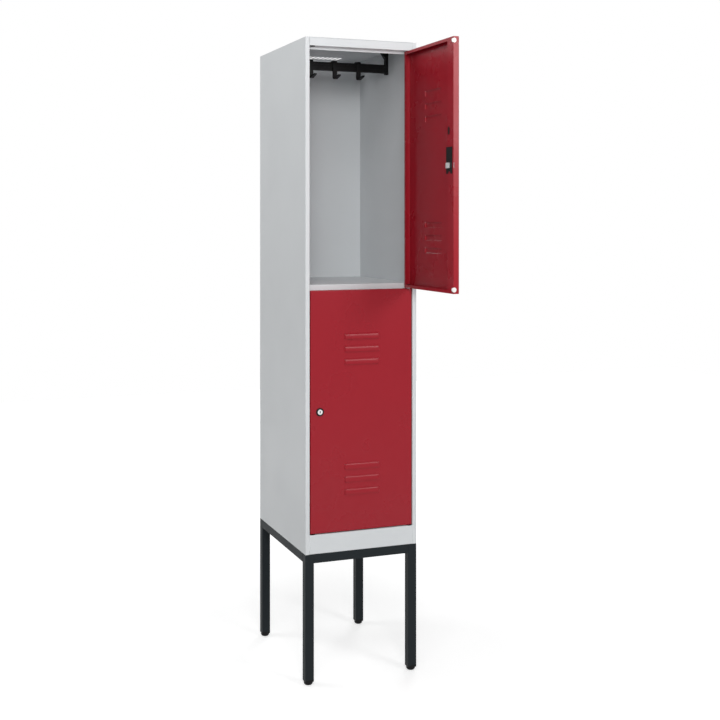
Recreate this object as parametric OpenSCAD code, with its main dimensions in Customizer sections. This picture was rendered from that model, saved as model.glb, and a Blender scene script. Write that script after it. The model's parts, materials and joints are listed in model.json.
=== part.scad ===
// Double tier locker on a base of square tube: one column, two compartments, two doors.
// The origin is the centre of the footprint on the floor, +Z is up and the doors face -Y.
// The lower door is drawn shut and the upper door is drawn standing open.

/* [Cabinet] */
// Width of the cabinet
cab_w = 400; // [360:5:500]
// Depth of the cabinet
cab_d = 500; // [420:5:600]
// Height of the cabinet above its base
cab_h = 1700; // [1500:10:1900]
// Thickness of the folded steel sheet of the cabinet
sheet_t = 0.8; // [0.7:0.1:1.2]
// Bend radius of the sheet, to its middle
bend_r = 1.6; // [1.2:0.1:2]
// Width of the front faces beside the doors
stile_w = 15; // [14:0.5:20]
// Width of the back flanges of the side panels
back_flange_w = 20; // [15:1:30]
// Width of the flanges under the side panels, which stand on the base
foot_flange_w = 22; // [20:1:28]
// Height of the front face above the upper door
top_rail_h = 28.5; // [24:0.5:40]
// Height of the front face below the lower door
bottom_rail_h = 63; // [50:1:90]
// Height of the lips that the doors close against
stop_lip_h = 9; // [7:0.5:12]
// Height of the down-turned flanges of the roof, shelf and floor panels
pan_flange_h = 15; // [10:1:20]

/* [Middle shelf] */
// Height of the shelf's front face above the line between the doors
shelf_face_up = 16.5; // [14:0.5:20]
// Height of the shelf's front face below the line between the doors
shelf_face_down = 21; // [18:0.5:30]

/* [Roof vents] */
// Number of slots in the roof
vent_count = 12; // [6:1:14]
// Distance from slot to slot
vent_pitch = 17; // [14:0.5:18]
// Width of a slot
vent_w = 10; // [6:0.5:11]
// Length of a slot
vent_l = 60; // [30:1:80]
// Distance from the slots to the back of the cabinet
vent_back = 12; // [10:1:40]

/* [Base] */
// Height of the base, from the floor to the cabinet
base_h = 430; // [250:5:500]
// Side of the square tube
tube_w = 30; // [28:1:40]
// Wall of the square tube
tube_wall = 1.5; // [1.2:0.1:3]
// Outside corner radius of the square tube
tube_r = 2; // [1.5:0.5:4]
// Height of the square collar of a foot
foot_collar_h = 6; // [4:0.5:10]
// Height of the round end of a foot
foot_round_h = 12; // [10:0.5:16]
// Rounding of the foot's lower edge
foot_edge_r = 8; // [4:0.5:10]
// Height of the plug inside the tube
foot_plug_h = 20; // [12:1:30]
// Distance between the two bolts on each side of the base
frame_bolt_pitch = 240; // [160:5:300]
// Diameter of the frame bolts
frame_bolt_d = 6; // [5:0.5:8]

/* [Doors] */
// Depth of the door pans
door_t = 20; // [19:0.5:24]
// Thickness of the door sheet
door_sheet = 0.8; // [0.7:0.1:1.2]
// Outside radius of the doors' front edges
door_edge_r = 3; // [2.5:0.25:4]
// Gap beside the doors
side_gap = 2.5; // [2.5:0.25:4]
// Gap above the upper door
top_gap = 2.5; // [2.5:0.25:4]
// Gap between the two doors
mid_gap = 3; // [3:0.25:5]
// Gap below the lower door
bottom_gap = 3; // [2.5:0.25:5]
// Width of the inner lip on the lock side
lock_lip_w = 42; // [40:1:50]
// Width of the inner lip on the hinge side
hinge_lip_w = 10; // [6:0.5:14]
// Width of the inner lips at the top and the bottom
end_lip_w = 10; // [4:0.5:12]
// Distance from the hinge axis to the door's hinge edge
pivot_in = 8; // [7.5:0.5:11]
// Distance from the hinge axis to the door's front face
pivot_back = 8; // [7:0.5:8]

/* [Louvres] */
// Length of a louvre
louvre_l = 124; // [80:2:160]
// Height of a louvre
louvre_h = 19; // [14:1:24]
// How far a louvre stands out of the door
louvre_out = 4; // [3:0.5:6]
// Distance from louvre to louvre
louvre_pitch = 42; // [34:1:50]
// Number of louvres in a group
louvre_count = 3; // [2:1:4]
// Drop of the first upper louvre's lower edge below the door's top
louvre_drop = 163; // [120:1:220]
// Rise of the last lower louvre's lower edge above the door's bottom
louvre_rise = 121; // [100:1:200]

/* [Locks] */
// Distance from the lock's axis to the door's free edge
lock_in = 33; // [32:0.5:38]
// Height of the lock's axis above the door's bottom
lock_up = 400; // [300:5:480]
// Diameter of the black collar on the door's face
collar_d = 27; // [26:0.5:32]
// Diameter of the lock's barrel
barrel_d = 22.4; // [22:0.1:24]
// Diameter of the turning core
core_d = 16.8; // [16.6:0.1:19.5]
// Distance from the lock's axis to the case's edge on the free side
case_fore = 25; // [22:0.5:26]
// Distance from the lock's axis to the case's edge on the hinge side
case_aft = 16; // [15:0.5:20]
// Height of the lock case above the axis
case_up = 58; // [40:1:70]
// Depth of the lock case below the axis
case_down = 26; // [22:1:40]
// Thickness of the case's cover plate, which lies on the inner lip
case_plate_t = 1; // [0.8:0.1:2]
// Diameter of the arch in the case's lower end
case_arch_d = 16; // [10:1:20]
// Height of the flat bolt
bolt_w = 20; // [19:0.5:24]
// Height of the bolt's nose, which enters the cabinet
nose_w = 16; // [12:0.5:18]
// Length of the bolt's nose
nose_l = 20; // [12:0.5:22]
// Thickness of the flat bolt
bolt_t = 2; // [1.8:0.1:2.5]
// Length of the bolt behind the lock's axis
bolt_tail = 14; // [10:0.5:14.5]
// Side of the square cap over the core and the bolt
cap_w = 17.5; // [16:0.5:24]
// Depth of the cap
cap_t = 5.5; // [3:0.25:6]
// Radius of the core's driving pin about the axis
cam_r = 6.5; // [5:0.1:6.6]
// Diameter of the core's driving pin
cam_pin_d = 3; // [2.5:0.1:3.2]
// Height of the oblong hole above the lock's axis
lip_hole_up = 109; // [90:1:160]
// Length of the oblong hole in the lock-side lip
lip_hole_l = 26; // [18:1:30]
// Width of the oblong hole in the lock-side lip
lip_hole_w = 14; // [8:0.5:14]

/* [Buffers] */
// Diameter of the white corner buffers
buffer_d = 15; // [13:0.5:18]
// Thickness of the white corner buffers
buffer_t = 5; // [4:0.5:8]
// How far the buffers stand out of the door's inner side
buffer_out = 4.7; // [4:0.1:6]
// Distance from a buffer's centre to the door's top or bottom edge
buffer_in = 12.5; // [12:0.5:16]

/* [Hinges] */
// Diameter of the hinge pins
pin_d = 6; // [5:0.25:6.5]
// How far a pin reaches out of the door or the bracket
pin_reach = 9; // [7:0.5:12]
// Thickness of the black inserts under the top rail and on the bottom rail
insert_t = 2; // [1.5:0.1:2]
// Diameter of the bushes' collars
bush_collar_d = 13; // [11.5:0.25:13.5]
// Thickness of the bushes' collars
bush_collar_t = 1.2; // [1:0.1:1.4]
// Thickness of the middle hinge bracket
bracket_t = 2; // [1.5:0.1:2.2]

/* [Coat rails] */
// Height of the coat rails
rail_h = 30; // [24:1:36]
// Thickness of the coat rails
rail_t = 12; // [8:0.5:14]
// Distance from the compartment's ceiling to the rail
rail_drop = 49; // [42:1:60]
// Distance from the cabinet's front to the rail
rail_back = 209; // [180:1:260]
// Width of the rail's end holders
holder_w = 10; // [10:0.5:16]
// Depth of the rail's end holders
holder_d = 16; // [15:0.5:22]
// Gap between the end holders and the side panels
holder_gap = 12; // [4:0.5:14]
// Reach of the gusset at the top of a holder
gusset_w = 20; // [10:1:26]
// Height of the gusset at the top of a holder
gusset_h = 29; // [16:1:32]

/* [Coat hooks] */
// Number of hooks on each rail
hook_count = 3; // [3:1:3]
// Distance from hook to hook
hook_pitch = 89; // [85:1:92]
// Sideways place of the middle hook
hook_shift = -17.5; // [-22:0.5:18]
// Width of a hook
hook_w = 16; // [14:1:20]
// Thickness of a hook
hook_t = 5; // [4:0.25:5.5]
// Depth of the hook's bend below the rail
hook_drop = 30; // [26:1:40]
// Reach of the hook in front of the rail
hook_reach = 50; // [38:1:56]
// Angle at which the hook's arm rises, in degrees
hook_rise = 12; // [6:1:30]
// Width of the arm where it leaves the plate's bend
hook_arm_w = 11; // [9:0.5:13]
// Width of the arm at its tip
hook_tip_w = 9; // [6:0.5:9]

/* [Hidden] */
$fn = 48;

// Colours
paint_grey = [0.80, 0.82, 0.82];
paint_red = [0.60, 0.10, 0.15];
paint_dark = [0.17, 0.19, 0.20];
plastic_black = [0.07, 0.07, 0.07];
plastic_white = [0.92, 0.92, 0.90];
bright_metal = [0.78, 0.78, 0.80];

// Named clearances: a seat, a turning fit, a hole round a bolt
seat_gap = 0.3;
fit_gap = 0.05;
hole_gap = 0.2;
// Overlap that makes a cut run clean through a surface
cut = 1;
// Steps in a folded bend
bend_steps = 4;

// Heights and planes of the cabinet
top_z = base_h + cab_h;
front_y = -cab_d / 2;
stop_y = front_y + door_t + buffer_out + seat_gap;
side_x = cab_w / 2;
opening_x = side_x - stile_w;
inner_x = side_x - sheet_t;
inner_back_y = cab_d / 2 - 2 * sheet_t;
ceiling_z = top_z - sheet_t;
top_rail_z = top_z - top_rail_h;
bottom_rail_z = base_h + bottom_rail_h;

// Doors
door_h = (top_rail_z - bottom_rail_z - top_gap - mid_gap - bottom_gap) / 2;
door_w = 2 * (opening_x - side_gap);
door_z = [bottom_rail_z + bottom_gap + door_h + mid_gap, bottom_rail_z + bottom_gap];
door_angle = [90, 0];
bush_d = 2 * (min(pivot_in, pivot_back) - door_edge_r - hole_gap);
pivot_x = opening_x - side_gap - pivot_in;
pivot_y = front_y + pivot_back;
split_z = door_z[0] - mid_gap / 2;

// Middle shelf
shelf_z = split_z + shelf_face_up - sheet_t;
shelf_ceiling_z = shelf_z - sheet_t;
shelf_hem = 12;
rail_ceiling = [ceiling_z, shelf_ceiling_z];

// Play round the bolt in the cabinet's slots
slot_play = 1.2;

// Lock, in the door's own depth
bolt_d0 = door_t - door_sheet - seat_gap - bolt_t;
core_back = bolt_d0 - 2 * seat_gap;
// The case's cover plate overlaps the lip by the rim; its body ends higher than the plate
case_rim = 2;
case_floor = 3;
case_body_down = bolt_w / 2 + case_floor;
case_web = 1.3;
case_d0 = core_back - case_web;
bolt_set = 2;
core_proud = 3;
collar_t = 1.5;
key_slot_w = 3.2;
key_slot_l = 8;
key_slot_depth = 6;
shutter_sunk = 1;
// The driving pin turns from 45 degrees before its lowest point to 45 degrees behind it
cam_start = 45;
bolt_throw = 2 * cam_r * sin(cam_start);
cam_play = 0.45;
cap_corner_r = 2.5;
cap_groove = 1;
// Inner and outer diameter of the cap's groove, as shares of its width
cap_ring = [0.4, 0.55];
// The plug in the lip's oblong hole has a rim behind the lip
plug_rim = 1.5;
plug_rim_t = 1;

// Base
leg_x = side_x - tube_w / 2;
leg_y = cab_d / 2 - tube_w / 2;
leg_z = foot_round_h + foot_collar_h;
plug_corner_r = 0.3;

// Coat rails: y of the rail's front and middle, and half its length
rail_front_y = front_y + rail_back;
rail_mid_y = rail_front_y + rail_t / 2;
holder_x = inner_x - holder_gap - holder_w;
rail_half = holder_x + holder_w / 2;
holder_plate_t = 3;
holder_tab = 12;
holder_foot = 5;
stud_d = 4;
nut_h = 3.2;
groove_w = 3;
groove_d = 1.5;

// Hooks
hook_saddle = 3;
hook_bend = 8;
hook_back_l = 8;
hook_taper_l = 10;
arm_steps = 5;

// Folded sheet: the outline of a strip of thickness t that follows a path with right-angled bends
function unit(v) = v / norm(v);
function left_of(v) = [-v.y, v.x];
function turn(a, b) = sign(a.x * b.y - a.y * b.x);
function bend_arc(v, a, b, t, r, side) = [
    for (i = [0:bend_steps])
        let (p = 90 * i / bend_steps, q = r - side * turn(a, b) * t / 2)
            v + r * (b - a) + q * (a * sin(p) - b * cos(p))
];
function strip_side(path, radii, t, side) = [
    for (i = [0:len(path) - 1])
        let (
            last = len(path) - 1,
            a = i == 0 ? unit(path[1] - path[0]) : unit(path[i] - path[i - 1]),
            b = i == last ? a : unit(path[i + 1] - path[i])
        )
            for (p = (i == 0 || i == last)
                ? [path[i] + side * left_of(a) * t / 2]
                : bend_arc(path[i], a, b, t, radii[i], side)) p
];
function reversed(list) = [for (i = [len(list) - 1:-1:0]) list[i]];
function equal_bends(path, r) = [for (p = path) r];

module strip(path, radii, t) {
    polygon(concat(strip_side(path, radii, t, 1), reversed(strip_side(path, radii, t, -1))));
}

// A folded section seen from above, from the side or from the front, as a straight length
module fold_up(path, height) {
    linear_extrude(height) strip(path, equal_bends(path, bend_r), sheet_t);
}

module fold_across(path, half_width) {
    translate([-half_width, 0, 0]) rotate([90, 0, 90])
        linear_extrude(2 * half_width) strip(path, equal_bends(path, bend_r), sheet_t);
}

module mirrored_x() {
    children();
    mirror([1, 0, 0]) children();
}

// A plate between two corners
module block(low, high) {
    translate(low) cube(high - low);
}

// Cabinet body

// A side panel: face beside the doors, return behind it, side wall, back flange, foot flange
module side_panel(slots) {
    mid = sheet_t / 2;
    section = [
        [-opening_x - mid, stop_y],
        [-opening_x - mid, front_y + mid],
        [-side_x + mid, front_y + mid],
        [-side_x + mid, cab_d / 2 - mid],
        [-side_x + back_flange_w, cab_d / 2 - mid]
    ];
    difference() {
        union() {
            translate([0, 0, base_h]) fold_up(section, cab_h - sheet_t);
            block([-side_x + mid, stop_y + seat_gap, base_h],
                [-side_x + foot_flange_w, inner_back_y - seat_gap, base_h + sheet_t]);
        }
        for (y = [-frame_bolt_pitch / 2, frame_bolt_pitch / 2])
            translate([-leg_x, y, base_h - cut])
                cylinder(d = frame_bolt_d + 2 * hole_gap, h = sheet_t + 2 * cut);
        if (slots)
            for (z = door_z) bolt_slot(z + lock_up);
    }
}

// The slot in the face return that takes a lock's bolt
module bolt_slot(z) {
    play = slot_play;
    block([-opening_x - sheet_t - cut, front_y + bolt_d0 - play, z - nose_w / 2 - play],
        [-opening_x + cut, front_y + bolt_d0 + bolt_t + play, z + nose_w / 2 + play]);
}

module left_side_panel() {
    color(paint_grey) side_panel(true);
}

module right_side_panel() {
    color(paint_grey) mirror([1, 0, 0]) side_panel(false);
}

wall_hole_pitch = 200;
wall_hole_d = 8.5;
wall_hole_drop = 30;

// Flat, and narrow enough to clear the bends of the side panels
module back_panel() {
    half = side_x - bend_r - sheet_t / 2 - hole_gap;
    color(paint_grey) difference() {
        block([-half, inner_back_y, base_h + sheet_t],
            [half, inner_back_y + sheet_t, ceiling_z]);
        for (x = [-wall_hole_pitch / 2, wall_hole_pitch / 2])
            translate([x, inner_back_y - cut, top_z - wall_hole_drop]) rotate([-90, 0, 0])
                cylinder(d = wall_hole_d, h = sheet_t + 2 * cut);
    }
}

// The plate of the roof, shelf or floor with its turned-down flanges; front_gap and plate_gap are
// the distances from the stop plane to the side flanges and to the plate
module pan(z, flange_h, front_gap = 3 * sheet_t, plate_gap = sheet_t) {
    block([-inner_x, stop_y + plate_gap, z - sheet_t], [inner_x, inner_back_y, z]);
    mirrored_x() block([-inner_x, stop_y + front_gap, z - flange_h],
        [-inner_x + sheet_t, inner_back_y - 2 * sheet_t, z - sheet_t]);
    block([-inner_x + 3 * sheet_t, inner_back_y - sheet_t, z - flange_h],
        [inner_x - 3 * sheet_t, inner_back_y, z - sheet_t]);
}

module roof_panel() {
    color(paint_grey) difference() {
        union() {
            pan(top_z, pan_flange_h);
            block([-side_x, front_y, ceiling_z], [side_x, cab_d / 2, top_z]);
        }
        for (i = [0:vent_count - 1])
            translate([(i - (vent_count - 1) / 2) * vent_pitch, 0, ceiling_z - cut]) vent_slot();
    }
}

module vent_slot() {
    far = cab_d / 2 - vent_back - vent_w / 2;
    near = far - vent_l + vent_w;
    linear_extrude(sheet_t + 2 * cut) {
        for (y = [near, far]) translate([0, y]) circle(d = vent_w);
        translate([-vent_w / 2, near]) square([vent_w, far - near]);
    }
}

// The face above the upper door, its return and the lip that the door closes against
module top_front_rail() {
    mid = sheet_t / 2;
    section = [
        [front_y + pan_flange_h, ceiling_z - mid],
        [front_y + mid, ceiling_z - mid],
        [front_y + mid, top_rail_z + mid],
        [stop_y + mid, top_rail_z + mid],
        [stop_y + mid, top_rail_z - stop_lip_h]
    ];
    color(paint_grey) difference() {
        fold_across(section, opening_x);
        bush_holes(top_rail_z - cut);
    }
}

// The face below the lower door, its return and its lip
module bottom_front_rail() {
    mid = sheet_t / 2;
    section = [
        [front_y + pan_flange_h, base_h + mid],
        [front_y + mid, base_h + mid],
        [front_y + mid, bottom_rail_z - mid],
        [stop_y + mid, bottom_rail_z - mid],
        [stop_y + mid, bottom_rail_z + stop_lip_h]
    ];
    color(paint_grey) difference() {
        fold_across(section, opening_x);
        bush_holes(bottom_rail_z - sheet_t - cut);
    }
}

module bush_holes(z) {
    for (x = [-pivot_x, pivot_x]) translate([x, pivot_y, z])
        cylinder(d = bush_d + 2 * hole_gap, h = sheet_t + 2 * cut);
}

module floor_panel() {
    z = bottom_rail_z - sheet_t;
    tongue_y = pivot_y + bush_d / 2 + 2 * seat_gap;
    color(paint_grey) {
        pan(z, pan_flange_h);
        block([-opening_x, tongue_y, z - sheet_t], [opening_x, stop_y + sheet_t, z]);
    }
}

module middle_shelf() {
    color(paint_grey) pan(shelf_z, pan_flange_h, shelf_hem + seat_gap, bend_r + sheet_t);
}

// The upright face at the shelf's front edge, which both doors close against. Its upper hem lies
// on the shelf plate.
module shelf_front_rail() {
    mid = sheet_t / 2;
    section = [
        [stop_y + shelf_hem, split_z + shelf_face_up - mid],
        [stop_y + mid, split_z + shelf_face_up - mid],
        [stop_y + mid, split_z - shelf_face_down + mid],
        [stop_y + shelf_hem, split_z - shelf_face_down + mid]
    ];
    color(paint_grey) fold_across(section, inner_x);
}

// Hinges

bush_len = pin_reach + 2;

// A black insert: oblong flange below z = 0, barrel above it, bore for a hinge pin. One carries
// the door and its twin at the other end stays empty, so that a door can be hung on that side.
module insert() {
    half = side_gap + pivot_in - seat_gap;
    r = pivot_back - 0.5;
    difference() {
        union() {
            translate([0, 0, -insert_t]) linear_extrude(insert_t) {
                for (x = [-1, 1]) translate([x * (half - r), 0]) circle(r = r);
                square([2 * (half - r), 2 * r], center = true);
            }
            cylinder(d = bush_d, h = bush_len - insert_t);
        }
        translate([0, 0, -insert_t - cut])
            cylinder(d = pin_d + 2 * fit_gap, h = bush_len + 2 * cut);
    }
}

module top_insert(side) {
    color(plastic_black) translate([side * pivot_x, pivot_y, top_rail_z]) insert();
}

module bottom_insert(side) {
    color(plastic_black) translate([side * pivot_x, pivot_y, bottom_rail_z])
        mirror([0, 0, 1]) insert();
}

module top_hinge_insert() {
    top_insert(1);
}

module top_spare_insert() {
    top_insert(-1);
}

module bottom_hinge_insert() {
    bottom_insert(1);
}

module bottom_spare_insert() {
    bottom_insert(-1);
}

// A plate between the two doors with one pin through it
module middle_hinge_bracket() {
    reach = bush_collar_d / 2;
    color(paint_grey) {
        block([pivot_x - reach, pivot_y - reach + 1, split_z - bracket_t / 2],
            [opening_x, pivot_y + reach, split_z + bracket_t / 2]);
        translate([pivot_x, pivot_y, split_z - bracket_t / 2 - pin_reach])
            cylinder(d = pin_d, h = bracket_t + 2 * pin_reach);
    }
}

// Base frame

module tube_section() {
    difference() {
        rounded_square(tube_w, tube_r);
        rounded_square(tube_w - 2 * tube_wall, max(tube_r - tube_wall, 0.5));
    }
}

module rounded_square(w, r) {
    square([w, w - 2 * r], center = true);
    square([w - 2 * r, w], center = true);
    for (x = [-1, 1], y = [-1, 1])
        translate([x * (w / 2 - r), y * (w / 2 - r)]) circle(r = r);
}

module leg(side, end) {
    color(paint_dark) translate([side * leg_x, end * leg_y, leg_z])
        linear_extrude(base_h - leg_z) tube_section();
}

module leg_front_left() {
    leg(-1, -1);
}

module leg_front_right() {
    leg(1, -1);
}

module leg_rear_left() {
    leg(-1, 1);
}

module leg_rear_right() {
    leg(1, 1);
}

// A tube between two legs, along X
module cross_tube(end) {
    half = leg_x - tube_w / 2;
    color(paint_dark) translate([-half, end * leg_y, base_h - tube_w / 2]) rotate([90, 0, 90])
        linear_extrude(2 * half) tube_section();
}

// A tube between two legs, along Y, with the holes for the frame bolts
module long_tube(side) {
    half = leg_y - tube_w / 2;
    color(paint_dark) difference() {
        translate([side * leg_x, half, base_h - tube_w / 2]) rotate([90, 0, 0])
            linear_extrude(2 * half) tube_section();
        for (y = [-frame_bolt_pitch / 2, frame_bolt_pitch / 2])
            translate([side * leg_x, y, base_h - tube_wall - cut])
                cylinder(d = frame_bolt_d + 2 * hole_gap, h = tube_wall + 2 * cut);
    }
}

module frame_front_tube() {
    cross_tube(-1);
}

module frame_rear_tube() {
    cross_tube(1);
}

module frame_left_tube() {
    long_tube(-1);
}

module frame_right_tube() {
    long_tube(1);
}

// A foot: round end with a rounded lower edge, square collar, plug inside the tube
module foot() {
    flat_r = tube_w / 2 - foot_edge_r;
    rotate_extrude() {
        square([flat_r, foot_round_h]);
        translate([0, foot_edge_r]) square([tube_w / 2, foot_round_h - foot_edge_r]);
        translate([flat_r, foot_edge_r]) intersection() {
            circle(r = foot_edge_r);
            translate([0, -foot_edge_r]) square(foot_edge_r);
        }
    }
    translate([0, 0, foot_round_h]) linear_extrude(foot_collar_h)
        rounded_square(tube_w, tube_r);
    translate([0, 0, leg_z]) linear_extrude(foot_plug_h)
        rounded_square(tube_w - 2 * tube_wall - 2 * hole_gap,
            max(tube_r - tube_wall - hole_gap, plug_corner_r));
}

module feet() {
    color(plastic_black) for (x = [-leg_x, leg_x], y = [-leg_y, leg_y])
        translate([x, y, 0]) foot();
}

module at_frame_bolts() {
    for (x = [-leg_x, leg_x], y = [-frame_bolt_pitch / 2, frame_bolt_pitch / 2])
        translate([x, y, base_h]) children();
}

module frame_bolts() {
    head_h = 4;
    shank_l = 16;
    color(bright_metal) at_frame_bolts() {
        translate([0, 0, sheet_t]) cylinder(d = frame_bolt_d * 1.9, h = head_h, $fn = 6);
        translate([0, 0, sheet_t - shank_l]) cylinder(d = frame_bolt_d, h = shank_l);
    }
}

module frame_nuts() {
    nut_t = 5;
    color(bright_metal) at_frame_bolts() translate([0, 0, -tube_wall - nut_t]) difference() {
        cylinder(d = frame_bolt_d * 1.9, h = nut_t, $fn = 6);
        translate([0, 0, -cut]) cylinder(d = frame_bolt_d + 2 * fit_gap, h = nut_t + 2 * cut);
    }
}

// Coat rails

module coat_rail(ceiling) {
    top = ceiling - rail_drop;
    color(plastic_black) difference() {
        block([-rail_half, rail_front_y, top - rail_h], [rail_half, rail_front_y + rail_t, top]);
        for (k = [1, 2]) {
            z = top - rail_h * k / 3;
            block([-rail_half - cut, rail_front_y - cut, z - groove_w / 2],
                [rail_half + cut, rail_front_y + groove_d, z + groove_w / 2]);
        }
    }
}

// Holders at both ends of a rail: upright, gusset, tabs under the ceiling, pocket for the rail
module rail_holders(ceiling) {
    top = ceiling - rail_drop;
    bottom = top - rail_h - holder_foot;
    color(plastic_black) mirrored_x() difference() {
        union() {
            block([holder_x, rail_mid_y - holder_d / 2, bottom],
                [holder_x + holder_w, rail_mid_y + holder_d / 2, ceiling]);
            block([holder_x, rail_mid_y - holder_d / 2 - holder_tab, ceiling - holder_plate_t],
                [holder_x + holder_w, rail_mid_y + holder_d / 2 + holder_tab, ceiling]);
            translate([0, rail_mid_y + holder_d / 2, 0]) rotate([90, 0, 0])
                linear_extrude(holder_d) polygon([
                    [holder_x - gusset_w, ceiling],
                    [holder_x + 1, ceiling],
                    [holder_x + 1, ceiling - gusset_h - gusset_h / gusset_w],
                    [holder_x, ceiling - gusset_h]
                ]);
        }
        block([holder_x - cut, rail_front_y - seat_gap, top - rail_h - seat_gap],
            [rail_half + seat_gap, rail_front_y + rail_t + seat_gap, top + seat_gap]);
        block([holder_x + 2, rail_mid_y - holder_d, bottom - cut],
            [holder_x + holder_w - 4, rail_mid_y + holder_d, bottom + holder_foot - 1.5]);
        at_holder_studs(ceiling - holder_plate_t - cut)
            cylinder(d = stud_d + 2 * hole_gap, h = holder_plate_t + 2 * cut);
    }
}

module at_holder_studs(z) {
    for (y = [-1, 1])
        translate([holder_x + holder_w / 2, rail_mid_y + y * (holder_d + holder_tab) / 2, z])
            children();
}

module upper_coat_rail() {
    coat_rail(rail_ceiling[0]);
}

module lower_coat_rail() {
    coat_rail(rail_ceiling[1]);
}

module upper_rail_holders() {
    rail_holders(rail_ceiling[0]);
}

module lower_rail_holders() {
    rail_holders(rail_ceiling[1]);
}

// Studs welded under the ceilings and the nuts that hold the holders on them
module rail_studs() {
    stud_l = holder_plate_t + nut_h + 2;
    color(bright_metal) for (ceiling = rail_ceiling) mirrored_x()
        at_holder_studs(ceiling - stud_l) cylinder(d = stud_d, h = stud_l);
}

module rail_nuts() {
    color(bright_metal) for (ceiling = rail_ceiling) mirrored_x()
        at_holder_studs(ceiling - holder_plate_t - nut_h) difference() {
            cylinder(d = stud_d * 2, h = nut_h, $fn = 6);
            translate([0, 0, -cut]) cylinder(d = stud_d + 2 * fit_gap, h = nut_h + 2 * cut);
        }
}

// One side of a hook's arm, in the plane of y and z: the bend about a centre, then the straight
// arm and its rounded tip
function arm_side(centre, side) =
    let (
        way = [-cos(hook_rise), sin(hook_rise)],
        start = centre - hook_bend * [sin(hook_rise), cos(hook_rise)],
        tip_y = rail_front_y - hook_reach + hook_t / 2,
        tip = start + way * (start.x - tip_y) / cos(hook_rise)
    )
        concat(
            [for (i = [1:arm_steps]) let (p = -i * (90 + hook_rise) / arm_steps)
                centre + (hook_bend + side * hook_t / 2) * [cos(p), sin(p)]],
            [for (p = side < 0 ? [0, 30, 60] : [0, 30, 60, 90])
                tip + hook_t / 2 * (side * cos(p) * left_of(way) + sin(p) * way)]
        );

// A hook seen from above: the full width of the plate, then the tapered arm
module hook_plan(plate_y) {
    middle = hook_w / 2;
    tip_y = rail_front_y - hook_reach - cut;
    polygon([
        [0, plate_y + hook_reach], [0, plate_y],
        [middle - hook_arm_w / 2, plate_y - hook_taper_l], [middle - hook_tip_w / 2, tip_y],
        [middle + hook_tip_w / 2, tip_y], [middle + hook_arm_w / 2, plate_y - hook_taper_l],
        [hook_w, plate_y], [hook_w, plate_y + hook_reach]
    ]);
}

// A hook that rides on the rail: back leg, saddle, front plate, round bend and tapered arm
module hook(ceiling, place) {
    top = ceiling - rail_drop;
    low = top - rail_h - hook_drop;
    near = rail_front_y - seat_gap - hook_t / 2;
    far = rail_front_y + rail_t + seat_gap + hook_t / 2;
    over = top + seat_gap + hook_t / 2;
    centre = [near - hook_bend, low + hook_t / 2 + hook_bend];
    path = [[far, over - hook_back_l], [far, over], [near, over], [near, centre.y]];
    radii = [0, hook_saddle, hook_saddle, 0];
    color(plastic_black) translate([hook_shift + place * hook_pitch - hook_w / 2, 0, 0])
        intersection() {
            rotate([90, 0, 90]) linear_extrude(hook_w) polygon(concat(
                strip_side(path, radii, hook_t, 1), arm_side(centre, 1),
                reversed(arm_side(centre, -1)), reversed(strip_side(path, radii, hook_t, -1))));
            translate([0, 0, low - cut]) linear_extrude(over + hook_t - low)
                hook_plan(near - hook_t / 2);
        }
}

module upper_hook_left() {
    hook(rail_ceiling[0], -1);
}

module upper_hook_middle() {
    hook(rail_ceiling[0], 0);
}

module upper_hook_right() {
    hook(rail_ceiling[0], 1);
}

module lower_hook_left() {
    hook(rail_ceiling[1], -1);
}

module lower_hook_middle() {
    hook(rail_ceiling[1], 0);
}

module lower_hook_right() {
    hook(rail_ceiling[1], 1);
}

// Doors. Each is drawn in its own frame: X from the free edge to the hinge edge,
// Y from the outer face into the door, Z up from its lower edge. at_door puts it in place.
module at_door(tier) {
    translate([pivot_x, pivot_y, door_z[tier]]) rotate([0, 0, door_angle[tier]])
        translate([pivot_in - door_w, -pivot_back, 0]) children();
}

function corner_arc(centre, r, start) = [
    for (i = [0:bend_steps])
        let (p = start + 90 * i / bend_steps) centre + r * [cos(p), sin(p)]
];

// A box whose four front edges are rounded, as a folded pan has them
module pan_form(w, t, h, r) {
    intersection() {
        linear_extrude(h) polygon(concat(
            [[w, t], [0, t]], corner_arc([r, r], r, 180), corner_arc([w - r, r], r, 270)));
        rotate([90, 0, 90]) linear_extrude(w) polygon(concat(
            [[t, 0], [t, h]], corner_arc([r, h - r], r, 90), corner_arc([r, r], r, 180)));
    }
}

// Heights of the louvres' lower edges above the door's bottom
louvre_z = concat(
    [for (i = [0:louvre_count - 1]) door_h - louvre_drop - i * louvre_pitch],
    [for (i = [0:louvre_count - 1]) louvre_rise + i * louvre_pitch]
);

// Half the section of a louvre's hood, from its top edge out and down to its open mouth
function hood_curve(out, top, low) = [
    for (i = [0:6]) [out * sin(15 * i), low + (top - low) * cos(15 * i)]
];

module hood_section() {
    low = louvre_h * 0.3;
    outer = hood_curve(louvre_out, louvre_h, low);
    inner = hood_curve(louvre_out - door_sheet, louvre_h - door_sheet, low);
    polygon(concat(outer, [[louvre_out, 0], [louvre_out - door_sheet, 0]], reversed(inner)));
}

// A pressed louvre, open at its lower edge, with rounded ends
module louvre_hood() {
    half = louvre_l / 2 - louvre_out;
    translate([-half, 0, 0]) rotate([90, 0, 90]) linear_extrude(2 * half)
        mirror([1, 0, 0]) hood_section();
    for (side = [-1, 1]) translate([side * half, 0, 0])
        rotate([0, 0, side < 0 ? 180 : 270]) rotate_extrude(angle = 90) hood_section();
}

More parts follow.
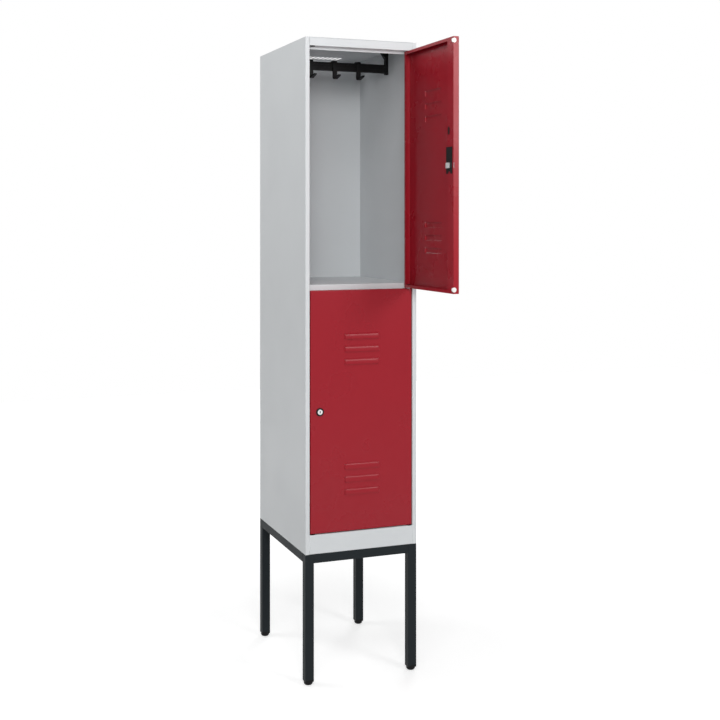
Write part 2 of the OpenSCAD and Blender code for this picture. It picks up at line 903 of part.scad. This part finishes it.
module louvre_cut() {
    half = louvre_l / 2 - louvre_out;
    out = louvre_out - door_sheet;
    translate([0, door_sheet + cut, 0]) rotate([90, 0, 0]) linear_extrude(door_sheet + 2 * cut) {
        translate([-half, 0]) square([2 * half, louvre_h - 2 * door_sheet]);
        for (side = [-half, half]) translate([side, (louvre_h - 2 * door_sheet) / 2])
            square([2 * out, louvre_h - 2 * door_sheet], center = true);
    }
}

// The door pan with its inner lips, louvres and holes. up is true where its pin is at the top.
module door_panel(tier) {
    s = door_sheet;
    color(paint_red) at_door(tier) {
        difference() {
            union() {
                difference() {
                    pan_form(door_w, door_t, door_h, door_edge_r);
                    translate([s, s, s]) pan_form(
                        door_w - 2 * s, door_t, door_h - 2 * s, door_edge_r - s);
                }
                block([0.5 * s, door_t - s, 0.5 * s], [lock_lip_w, door_t, door_h - 0.5 * s]);
                block([door_w - hinge_lip_w, door_t - s, 0.5 * s],
                    [door_w - 0.5 * s, door_t, door_h - 0.5 * s]);
                for (z = [0.5 * s, door_h - end_lip_w])
                    block([lock_lip_w - 1, door_t - s, z],
                        [door_w - hinge_lip_w + 1, door_t, z + end_lip_w - 0.5 * s]);
            }
            for (z = louvre_z) translate([door_w / 2, 0, z]) louvre_cut();
            lock_cuts();
            buffer_cuts();
            for (z = [-cut, door_h - s - cut])
                translate([door_w - pivot_in, pivot_back, z])
                    cylinder(d = bush_d + 2 * hole_gap, h = s + 2 * cut);
        }
        for (z = louvre_z) translate([door_w / 2, 0, z]) louvre_hood();
    }
}

// What the lock, its bolt and the oblong hole take out of the pan
module lock_cuts() {
    s = door_sheet;
    translate([lock_in, s + cut, lock_up]) rotate([90, 0, 0])
        cylinder(d = barrel_d + 2 * hole_gap, h = s + 2 * cut);
    block([lock_in - case_fore + case_rim - seat_gap, door_t - s - cut,
            lock_up - case_body_down - seat_gap],
        [lock_lip_w + cut, door_t + cut, lock_up + case_up - case_rim + seat_gap]);
    block([-cut, bolt_d0 - seat_gap, lock_up - nose_w / 2 - seat_gap],
        [s + cut, bolt_d0 + bolt_t + seat_gap, lock_up + nose_w / 2 + seat_gap]);
    translate([lock_in, door_t + cut, lock_up + lip_hole_up]) rotate([90, 0, 0])
        linear_extrude(s + 2 * cut) oblong(lip_hole_w, lip_hole_l);
}

// An upright oblong about the origin
module oblong(width, length) {
    for (z = [-1, 1]) translate([0, z * (length - width) / 2]) circle(d = width);
    square([width, length - width], center = true);
}

// The black plug that closes the lip's oblong hole, its rim behind the lip
module lip_plug(tier) {
    lip_back = door_t - door_sheet;
    color(plastic_black) at_door(tier)
        translate([lock_in, 0, lock_up + lip_hole_up]) rotate([90, 0, 0]) {
            translate([0, 0, -door_t]) linear_extrude(door_sheet + cut)
                oblong(lip_hole_w - 2 * hole_gap, lip_hole_l - 2 * hole_gap);
            translate([0, 0, -lip_back]) linear_extrude(plug_rim_t)
                oblong(lip_hole_w + 2 * plug_rim, lip_hole_l + 2 * plug_rim);
        }
}

// Places of the two corner buffers of a door
module at_buffers() {
    for (z = [buffer_in, door_h - buffer_in])
        translate([0, door_t + buffer_out - buffer_d / 2, z]) rotate([0, 90, 0]) children();
}

module buffer_cuts() {
    at_buffers() translate([0, 0, -cut])
        cylinder(d = buffer_d + 2 * hole_gap, h = buffer_t + cut + hole_gap);
}

module door_buffers(tier) {
    color(plastic_white) at_door(tier) at_buffers() cylinder(d = buffer_d, h = buffer_t);
}

// The door's own hinge pin, with a collar inside the pan, clear of the pan's bends. It points up
// from the upper door and down from the lower one.
module hinge_pin(tier) {
    grip = 6;
    color(bright_metal) at_door(tier) translate([door_w - pivot_in, pivot_back, 0])
        translate([0, 0, tier == 0 ? door_h : 0]) mirror([0, 0, tier]) {
            translate([0, 0, -door_sheet - grip]) cylinder(d = pin_d, h = door_sheet + grip + pin_reach);
            translate([0, 0, -door_edge_r - bush_collar_t])
                cylinder(d = bush_collar_d, h = bush_collar_t);
            translate([0, 0, -door_edge_r]) cylinder(d = bush_d, h = door_edge_r);
        }
}

// The bush at the door's other end, which turns on the middle bracket's pin
module hinge_bush(tier) {
    color(plastic_black) at_door(tier) translate([door_w - pivot_in, pivot_back, 0])
        translate([0, 0, tier == 0 ? 0 : door_h]) mirror([0, 0, tier]) difference() {
            union() {
                cylinder(d = bush_d, h = bush_len);
                translate([0, 0, door_edge_r]) cylinder(d = bush_collar_d, h = bush_collar_t);
            }
            translate([0, 0, -cut]) cylinder(d = pin_d + 2 * fit_gap, h = bush_len + 2 * cut);
        }
}

// Puts a lock piece on the lock's axis, its Z pointing out of the door, zero at the outer face
module at_lock(tier) {
    at_door(tier) translate([lock_in, 0, lock_up]) rotate([90, 0, 0]) children();
}

module lock_barrel(tier) {
    color(plastic_black) at_lock(tier) difference() {
        union() {
            translate([0, 0, -case_d0]) cylinder(d = barrel_d, h = case_d0);
            cylinder(d = collar_d, h = collar_t);
        }
        translate([0, 0, -case_d0 - cut])
            cylinder(d = core_d + 2 * fit_gap, h = case_d0 + collar_t + 2 * cut);
    }
}

// The case: a body in the lip's cut-out with the bolt's channel through it, and a cover plate that
// lies on the lip and ends in an arch
module lock_case(tier) {
    channel_d0 = bolt_d0 - seat_gap;
    channel_d1 = bolt_d0 + bolt_t + seat_gap;
    plate_d1 = door_t + case_plate_t;
    color(plastic_black) at_door(tier) difference() {
        union() {
            block([lock_in - case_fore + case_rim, case_d0, lock_up - case_body_down],
                [lock_in + case_aft - case_rim / 2, plate_d1, lock_up + case_up - case_rim]);
            block([lock_in - case_fore, door_t, lock_up - case_down],
                [lock_in + case_aft, plate_d1, lock_up + case_up]);
        }
        block([lock_in - case_fore - cut, channel_d0, lock_up - bolt_w / 2 - seat_gap],
            [lock_in + case_aft + cut, channel_d1, lock_up + bolt_w / 2 + seat_gap]);
        translate([lock_in, channel_d0 + cut, lock_up]) rotate([90, 0, 0])
            cylinder(d = core_d + 2 * hole_gap, h = channel_d0 - case_d0 + 2 * cut);
        translate([lock_in + (case_aft - case_fore) / 2, plate_d1 + cut, lock_up - case_down])
            rotate([90, 0, 0]) cylinder(d = case_arch_d, h = case_plate_t + 2 * cut);
    }
}

// The bright square cap on the case, with a round groove about its middle
module lock_cap(tier) {
    ring = [cap_w * cap_ring[0], cap_w * cap_ring[1]];
    color(bright_metal) at_lock(tier) translate([0, 0, -door_t - case_plate_t - cap_t])
        difference() {
            linear_extrude(cap_t) rounded_square(cap_w, cap_corner_r);
            translate([0, 0, -cut]) difference() {
                cylinder(d = ring[1], h = cut + cap_groove);
                translate([0, 0, -cut]) cylinder(d = ring[0], h = 3 * cut + cap_groove);
            }
        }
}

// The turning core with its keyway in front and its driving pin behind
module lock_core(tier) {
    color(bright_metal) at_lock(tier) {
        difference() {
            translate([0, 0, -core_back]) cylinder(d = core_d, h = core_back + core_proud);
            translate([-key_slot_w / 2, -key_slot_l / 2, core_proud - key_slot_depth])
                cube([key_slot_w, key_slot_l, key_slot_depth + cut]);
        }
        rotate([0, 0, cam_start - 90]) translate([cam_r, 0, -bolt_d0 - bolt_t])
            cylinder(d = cam_pin_d, h = bolt_d0 + bolt_t - core_back + cut);
    }
}

// The dark shutter in the keyway, a little below its mouth
module lock_shutter(tier) {
    color(plastic_black) at_lock(tier)
        translate([fit_gap - key_slot_w / 2, fit_gap - key_slot_l / 2, core_proud - key_slot_depth])
            cube([key_slot_w - 2 * fit_gap, key_slot_l - 2 * fit_gap, key_slot_depth - shutter_sunk]);
}

// The flat bolt, drawn back, with the upright slot that the driving pin runs in
module lock_bolt(tier) {
    slot_w = cam_pin_d + 2 * cam_play;
    slot_low = cam_r + cam_pin_d / 2 + seat_gap;
    slot_high = cam_r * cos(cam_start) - cam_pin_d / 2 - seat_gap;
    slot_x = lock_in + cam_r * sin(cam_start);
    color(bright_metal) at_door(tier) difference() {
        union() {
            block([bolt_set, bolt_d0, lock_up - nose_w / 2],
                [bolt_set + nose_l + cut, bolt_d0 + bolt_t, lock_up + nose_w / 2]);
            block([bolt_set + nose_l, bolt_d0, lock_up - bolt_w / 2],
                [lock_in + bolt_tail, bolt_d0 + bolt_t, lock_up + bolt_w / 2]);
        }
        block([slot_x - slot_w / 2, bolt_d0 - cut, lock_up - slot_low],
            [slot_x + slot_w / 2, bolt_d0 + bolt_t + cut, lock_up - slot_high]);
    }
}

module upper_door_panel() {
    door_panel(0);
}

module upper_door_buffers() {
    door_buffers(0);
}

module upper_hinge_pin() {
    hinge_pin(0);
}

module upper_hinge_bush() {
    hinge_bush(0);
}

module upper_lock_barrel() {
    lock_barrel(0);
}

module upper_lock_case() {
    lock_case(0);
}

module upper_lock_cap() {
    lock_cap(0);
}

module upper_lip_plug() {
    lip_plug(0);
}

module upper_lock_shutter() {
    lock_shutter(0);
}

module upper_lock_core() {
    lock_core(0);
}

module upper_lock_bolt() {
    lock_bolt(0);
}

module lower_door_panel() {
    door_panel(1);
}

module lower_door_buffers() {
    door_buffers(1);
}

module lower_hinge_pin() {
    hinge_pin(1);
}

module lower_hinge_bush() {
    hinge_bush(1);
}

module lower_lock_barrel() {
    lock_barrel(1);
}

module lower_lock_case() {
    lock_case(1);
}

module lower_lock_cap() {
    lock_cap(1);
}

module lower_lip_plug() {
    lip_plug(1);
}

module lower_lock_shutter() {
    lock_shutter(1);
}

module lower_lock_core() {
    lock_core(1);
}

module lower_lock_bolt() {
    lock_bolt(1);
}

left_side_panel();
right_side_panel();
back_panel();
roof_panel();
top_front_rail();
bottom_front_rail();
floor_panel();
middle_shelf();
shelf_front_rail();
top_hinge_insert();
top_spare_insert();
middle_hinge_bracket();
bottom_hinge_insert();
bottom_spare_insert();
frame_front_tube();
frame_rear_tube();
frame_left_tube();
frame_right_tube();
leg_front_left();
leg_front_right();
leg_rear_left();
leg_rear_right();
feet();
frame_bolts();
frame_nuts();
upper_coat_rail();
lower_coat_rail();
upper_rail_holders();
lower_rail_holders();
rail_studs();
rail_nuts();
upper_hook_left();
upper_hook_middle();
upper_hook_right();
lower_hook_left();
lower_hook_middle();
lower_hook_right();
upper_door_panel();
upper_door_buffers();
upper_hinge_pin();
upper_hinge_bush();
upper_lock_barrel();
upper_lock_case();
upper_lock_cap();
upper_lip_plug();
upper_lock_shutter();
upper_lock_core();
upper_lock_bolt();
lower_door_panel();
lower_door_buffers();
lower_hinge_pin();
lower_hinge_bush();
lower_lock_barrel();
lower_lock_case();
lower_lock_cap();
lower_lip_plug();
lower_lock_shutter();
lower_lock_core();
lower_lock_bolt();
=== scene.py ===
# %% [markdown]
# # Double tier locker
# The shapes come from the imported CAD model, which is loaded first and never moved. This notebook
# gives them their finishes, sets up a plain studio and places the camera where the photograph was
# taken. All lengths are in metres, +Z is up and the doors face -Y.

# %% Load the model
import json
import math

import bpy
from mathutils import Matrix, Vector


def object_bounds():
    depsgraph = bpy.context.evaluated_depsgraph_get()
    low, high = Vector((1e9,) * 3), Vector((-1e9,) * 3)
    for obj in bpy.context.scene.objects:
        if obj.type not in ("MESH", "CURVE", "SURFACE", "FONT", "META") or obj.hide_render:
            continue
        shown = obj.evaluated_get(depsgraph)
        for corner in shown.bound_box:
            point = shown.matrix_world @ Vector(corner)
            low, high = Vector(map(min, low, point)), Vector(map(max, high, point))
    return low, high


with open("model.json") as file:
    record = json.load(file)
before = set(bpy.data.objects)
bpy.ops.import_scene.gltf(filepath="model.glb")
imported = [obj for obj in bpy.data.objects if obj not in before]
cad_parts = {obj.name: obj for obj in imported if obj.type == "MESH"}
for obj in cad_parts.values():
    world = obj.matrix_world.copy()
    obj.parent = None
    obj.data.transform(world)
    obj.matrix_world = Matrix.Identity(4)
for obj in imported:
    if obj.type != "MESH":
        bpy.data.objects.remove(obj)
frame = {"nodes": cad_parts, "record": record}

cad_box = [list(corner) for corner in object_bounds()]
nodes = frame["nodes"]
for plain in list(bpy.data.materials):
    bpy.data.materials.remove(plain)
print("model box:", [[round(v, 3) for v in corner] for corner in cad_box])

# %% [markdown]
# ## Small helpers for finishes
# Every finish on a real locker is a base colour with some fine irregularity on top. In Blender
# that could be a picture wrapped on with UVs, or a node tree. A node tree was chosen: each one
# starts from the shader and from the surface's own position in metres, so a grain has the same
# size on every piece, needs no unwrapping and doesn't slide when the camera moves. Scales count
# the waves in a metre, and depths are in metres.

# %% Helpers for node trees
def start_material(name, color, roughness, metallic=0.0, specular=0.5):
    material = bpy.data.materials.new(name)
    material.use_nodes = True
    shader = material.node_tree.nodes["Principled BSDF"]
    shader.inputs["Base Color"].default_value = (*color, 1.0)
    shader.inputs["Roughness"].default_value = roughness
    shader.inputs["Metallic"].default_value = metallic
    shader.inputs["Specular IOR Level"].default_value = specular
    return material, material.node_tree, shader


def position(tree, stretch=(1.0, 1.0, 1.0)):
    coordinates = tree.nodes.new("ShaderNodeTexCoord")
    mapping = tree.nodes.new("ShaderNodeMapping")
    mapping.inputs["Scale"].default_value = stretch
    tree.links.new(coordinates.outputs["Object"], mapping.inputs["Vector"])
    return mapping.outputs["Vector"]


def noise(tree, where, scale, detail=2.0, rough=0.5):
    texture = tree.nodes.new("ShaderNodeTexNoise")
    texture.inputs["Scale"].default_value = scale
    texture.inputs["Detail"].default_value = detail
    texture.inputs["Roughness"].default_value = rough
    tree.links.new(where, texture.inputs["Vector"])
    return texture.outputs["Fac"]


print("helpers:", start_material.__name__, position.__name__, noise.__name__)

# %% [markdown]
# ## Tone, gloss and relief
# From near by, paint, plastic and metal show the same three things: a colour that isn't quite
# even, a gloss that comes and goes, and a fine relief. Each could have a picture of its own. Here
# a noise value drives each of them, so the finishes stay short and alike. It is stretched to a
# range, mixed between two tones or read as a height. Most of a noise lies near its middle, so the
# range and the tones use only that part.

# %% Tone, gloss and relief from a noise
noise_low, noise_high = 0.3, 0.7


def spread(tree, value, low, high):
    remap = tree.nodes.new("ShaderNodeMapRange")
    remap.inputs["From Min"].default_value = noise_low
    remap.inputs["From Max"].default_value = noise_high
    remap.inputs["To Min"].default_value = low
    remap.inputs["To Max"].default_value = high
    tree.links.new(value, remap.inputs["Value"])
    return remap.outputs["Result"]


def two_tones(tree, shader, value, dark, light):
    ramp = tree.nodes.new("ShaderNodeValToRGB")
    ramp.color_ramp.elements[0].position = noise_low
    ramp.color_ramp.elements[0].color = (*dark, 1.0)
    ramp.color_ramp.elements[1].position = noise_high
    ramp.color_ramp.elements[1].color = (*light, 1.0)
    tree.links.new(value, ramp.inputs["Fac"])
    tree.links.new(ramp.outputs["Color"], shader.inputs["Base Color"])


def relief(tree, shader, value, height, strength):
    bump = tree.nodes.new("ShaderNodeBump")
    bump.inputs["Distance"].default_value = height
    bump.inputs["Strength"].default_value = strength
    tree.links.new(value, bump.inputs["Height"])
    tree.links.new(bump.outputs["Normal"], shader.inputs["Normal"])


def shade(color, factor):
    return tuple(min(1.0, channel * factor) for channel in color)


print("noise is used from", noise_low, "to", noise_high)

# %% [markdown]
# ## Powder coat
# The sheet and the tubes are powder coated: a fine orange peel, a few millimetres from wave to
# wave and some hundredths of a millimetre deep, and a colour that hardly varies. The peel could be
# real displacement, but it is far too fine for that. A fine noise as bump gives it, and a coarse
# one moves the colour and the gloss a little, as on a large sprayed panel.

# %% Powder coat on the cabinet, the doors and the base
paint_tone_scale, paint_gloss_scale = 2.3, 7.0
soft_bump = 0.5


def powder_coat(name, color, roughness, peel=0.00003, grain=420.0, vary=0.025, specular=0.25):
    material, tree, shader = start_material(name, color, roughness, specular=specular)
    where = position(tree)
    broad = noise(tree, where, paint_tone_scale, detail=3.0)
    two_tones(tree, shader, broad, shade(color, 1 - vary), shade(color, 1 + vary))
    gloss = noise(tree, where, paint_gloss_scale, detail=4.0)
    rough_range = spread(tree, gloss, roughness - 0.03, roughness + 0.04)
    tree.links.new(rough_range, shader.inputs["Roughness"])
    relief(tree, shader, noise(tree, where, grain, detail=1.5), peel, soft_bump)
    return material


body_paint = powder_coat("body_paint", (0.645, 0.668, 0.682), 0.42)
door_paint = powder_coat("door_paint", (0.305, 0.0080, 0.0175), 0.28, specular=0.22)
base_paint = powder_coat("base_paint", (0.0130, 0.0170, 0.0195), 0.55, peel=0.00002, vary=0.06,
                         specular=0.12)
print("powder coats:", body_paint.name, door_paint.name, base_paint.name)

# %% [markdown]
# ## Moulded plastic
# The rails, hooks, lock cases, inserts and feet are injection moulded: a fine grain from the mould
# and a soft sheen. A plain shader would do from afar, but from near by its highlights would look
# wet. The same bump as for the paint breaks them up, finer and denser. The buffers are white and
# smoother.

# %% Black and white plastic
plastic_tone_scale, plastic_gloss_scale = 30.0, 60.0


def moulded(name, color, roughness, grain=900.0, depth=0.00003, specular=0.25):
    material, tree, shader = start_material(name, color, roughness, specular=specular)
    where = position(tree)
    tone = noise(tree, where, plastic_tone_scale, detail=2.0)
    two_tones(tree, shader, tone, shade(color, 0.9), shade(color, 1.12))
    gloss = noise(tree, where, plastic_gloss_scale)
    rough_range = spread(tree, gloss, roughness - 0.05, roughness + 0.05)
    tree.links.new(rough_range, shader.inputs["Roughness"])
    relief(tree, shader, noise(tree, where, grain, detail=2.0), depth, soft_bump)
    return material


black_plastic = moulded("black_plastic", (0.0050, 0.0052, 0.0055), 0.50, specular=0.15)
white_plastic = moulded("white_plastic", (0.80, 0.80, 0.78), 0.40, depth=0.00001)
print("plastics:", black_plastic.name, white_plastic.name)

# %% [markdown]
# ## Plated metal
# The lock's core and the cap over its case have a bright satin plate, which still looks light
# where it mirrors the black case, so it is mixed from metal and a pale lacquer. The bolts, pins,
# studs and nuts are zinc plated. Both show fine lines: level ones on the plate, upright ones on
# the zinc. They could be modelled as grooves, but a noise stretched along one axis gives them at
# any distance.

# %% Bright plate and zinc
line_scale, line_bump = 240.0, 0.4


def plated(name, color, roughness, stretch, depth, metallic=1.0):
    material, tree, shader = start_material(name, color, roughness, metallic=metallic)
    where = position(tree, stretch)
    lines = noise(tree, where, line_scale, detail=3.0, rough=0.6)
    two_tones(tree, shader, lines, shade(color, 0.93), shade(color, 1.05))
    rough_range = spread(tree, lines, roughness - 0.04, roughness + 0.06)
    tree.links.new(rough_range, shader.inputs["Roughness"])
    relief(tree, shader, lines, depth, line_bump)
    return material


lines_level, lines_upright = (1.0, 1.0, 9.0), (5.0, 5.0, 1.0)
chrome = plated("chrome", (0.70, 0.70, 0.70), 0.42, lines_level, 0.000006, metallic=0.45)
zinc_steel = plated("zinc_steel", (0.50, 0.51, 0.53), 0.34, lines_upright, 0.00001)
print("metals:", chrome.name, zinc_steel.name)

# %% [markdown]
# ## From slot to finish
# Each piece of the locker is painted, moulded or plated as a whole before it is put together, so
# one finish per node is true to it. The record names a slot for each node, and a loop hands out
# the finishes by that name. Assigning them by hand would be longer and easier to get wrong.

# %% Give every node the finish that its slot names
finishes = {m.name: m for m in (body_paint, door_paint, base_paint, black_plastic, white_plastic,
                                chrome, zinc_steel)}
for entry in frame["record"]["subparts"]:
    part = nodes[entry["node"]]
    part.data.materials.clear()
    part.data.materials.append(finishes[entry["material_slot"]])

# %% [markdown]
# ## Floor and backdrop
# The photograph has a pure white surround, and the locker stands on it with a faint shadow. It
# could be a curved backdrop, but that would show its bend from other sides. A large pale floor was
# chosen, which catches the shadow under the base. Its edge doesn't show, as the world behind it is
# white too.

# %% Floor
floor_z = cad_box[0][2]
floor_half = 6.0
mesh = bpy.data.meshes.new("floor")
mesh.from_pydata([(-floor_half, -floor_half, floor_z), (floor_half, -floor_half, floor_z),
                  (floor_half, floor_half, floor_z), (-floor_half, floor_half, floor_z)],
                 [], [(0, 1, 2, 3)])
floor = bpy.data.objects.new("floor", mesh)
bpy.context.scene.collection.objects.link(floor)
print("floor at", round(floor_z, 4), "and", 2 * floor_half, "m wide")

# %% [markdown]
# ## The floor's white
# The paper is white up to the edge of the picture. More lamps could do that, but they would bleach
# the locker too. So the paper glows for the rays that look at it, from the camera and from
# mirroring surfaces, and for no others. It glows less near the locker, so that the shadow stays,
# and more further out, where the lamps hardly reach.

# %% Rays that look
def rays_that_look(tree):
    path = tree.nodes.new("ShaderNodeLightPath")
    seen = path.outputs["Is Camera Ray"]
    for kind in ("Is Glossy Ray", "Is Transmission Ray"):
        either = tree.nodes.new("ShaderNodeMath")
        either.operation = "MAXIMUM"
        tree.links.new(seen, either.inputs[0])
        tree.links.new(path.outputs[kind], either.inputs[1])
        seen = either.outputs["Value"]
    return seen


print("helper:", rays_that_look.__name__)

# %% Paper with its glow
paper_gray, paper_roughness, paper_tone_scale = 0.72, 0.9, 1.5
dark_gray, light_gray = 0.715, 0.725
paper, paper_tree, paper_shader = start_material("floor_paper", (paper_gray,) * 3, paper_roughness)
two_tones(paper_tree, paper_shader, noise(paper_tree, position(paper_tree), paper_tone_scale),
          (dark_gray,) * 3, (light_gray,) * 3)
paper_shader.inputs["Emission Color"].default_value = (1.0, 1.0, 1.0, 1.0)
near_glow, far_glow = 0.48, 1.0
shadow_reach, lamp_reach = 0.6, 3.0
centre_out = paper_tree.nodes.new("ShaderNodeVectorMath")
centre_out.operation = "LENGTH"
paper_tree.links.new(position(paper_tree), centre_out.inputs[0])
away = paper_tree.nodes.new("ShaderNodeMapRange")
away.inputs["From Min"].default_value = shadow_reach
away.inputs["From Max"].default_value = lamp_reach
away.inputs["To Min"].default_value = near_glow
away.inputs["To Max"].default_value = far_glow
paper_tree.links.new(centre_out.outputs["Value"], away.inputs["Value"])
glow = paper_tree.nodes.new("ShaderNodeMath")
glow.operation = "MULTIPLY"
paper_tree.links.new(away.outputs["Result"], glow.inputs[0])
paper_tree.links.new(rays_that_look(paper_tree), glow.inputs[1])
paper_tree.links.new(glow.outputs["Value"], paper_shader.inputs["Emission Strength"])
floor.data.materials.append(paper)
print("glow:", near_glow, "within", shadow_reach, "m,", far_glow, "from", lamp_reach, "m out")

# %% [markdown]
# ## World
# Light from all sides fills the compartments, as in a bright studio. It could come from a picture
# of a studio, but that would bring shapes into the reflections that the photograph doesn't show. A
# weak even white was chosen. Where the camera or a mirroring surface looks past the locker, the
# world is plain white, so that the surround matches and metal has something pale to mirror.

# %% World light, and white where the camera looks past the object
world = bpy.data.worlds.new("studio")
bpy.context.scene.world = world
world.use_nodes = True
sky = world.node_tree
sky.nodes.clear()
ambient = 0.27
room = sky.nodes.new("ShaderNodeBackground")
room.inputs["Color"].default_value = (1.0, 1.0, 1.0, 1.0)
room.inputs["Strength"].default_value = ambient
white = sky.nodes.new("ShaderNodeBackground")
white.inputs["Color"].default_value = (1.0, 1.0, 1.0, 1.0)
white.inputs["Strength"].default_value = 1.0
mix = sky.nodes.new("ShaderNodeMixShader")
out = sky.nodes.new("ShaderNodeOutputWorld")
sky.links.new(rays_that_look(sky), mix.inputs["Fac"])
sky.links.new(room.outputs["Background"], mix.inputs[1])
sky.links.new(white.outputs["Background"], mix.inputs[2])
sky.links.new(mix.outputs["Shader"], out.inputs["Surface"])
print("ambient strength:", ambient)

# %% [markdown]
# ## Studio lights
# A product studio lights painted sheet with large soft boxes, so area lamps stand in for them.
# Point lamps would give hard spots on the doors. The key panel stands in front and a little to the
# left and gives most of the light. The high panel reaches the shelf and the upper part of the
# case. The left panel stands behind the plane of the doors, so that it lights the side wall and
# leaves the inside of the open door in shade. The right panel stands where the open door's free
# edge mirrors it. The rear panel shows the back. Their powers, in watts, were set by comparing
# each face with the photograph.

# %% Soft panels
def panel(name, place, target, side, power):
    light = bpy.data.lights.new(name, "AREA")
    light.shape = "SQUARE"
    light.size = side
    light.energy = power
    lamp = bpy.data.objects.new(name, light)
    lamp.location = place
    lamp.rotation_euler = (Vector(target) - Vector(place)).to_track_quat("-Z", "Y").to_euler()
    bpy.context.scene.collection.objects.link(lamp)
    return lamp


middle = (0.0, 0.0, 1.1)
upper_case = (0.0, 0.0, 1.6)
free_edge = (0.2, -0.6, 2.0)
box_side, small_side, rear_side = 1.4, 1.0, 1.6
key_panel = panel("key_panel", (-1.2, -4.0, 2.6), middle, box_side, power=68.0)
high_panel = panel("high_panel", (-1.4, -2.4, 3.8), middle, box_side, power=24.0)
left_panel = panel("left_panel", (-2.2, 0.9, 3.4), upper_case, box_side, power=24.0)
right_panel = panel("right_panel", (1.7, -3.5, 2.4), free_edge, small_side, power=38.0)
rear_panel = panel("rear_panel", (2.6, 3.6, 2.6), middle, rear_side, power=45.0)
print("panels:", [lamp.name for lamp in (key_panel, high_panel, left_panel, right_panel,
                                         rear_panel)])

# %% [markdown]
# ## Camera
# The photograph is a product picture with upright verticals. It was taken by a level camera at
# about eye height, in front and to the left, whose frame is shifted down. A tilted camera would
# frame the locker too, but its verticals would lean. Place, turn, lens and shift were found by
# fitting the cabinet's corners, legs and gaps.

# %% Camera
turn = 0.351
lens_data = bpy.data.cameras.new("camera")
lens_data.sensor_width = 36.0
lens_data.lens = 57.12
lens_data.shift_x = 0.0619
lens_data.shift_y = -0.1965
camera = bpy.data.objects.new("camera", lens_data)
camera.location = (-1.4561, -3.7753, 1.5332)
camera.rotation_euler = (math.radians(90), 0.0, -turn)
bpy.context.scene.collection.objects.link(camera)
bpy.context.scene.camera = camera
bpy.context.scene.view_settings.view_transform = "Standard"
print("camera at", tuple(round(v, 3) for v in camera.location), "lens", lens_data.lens)
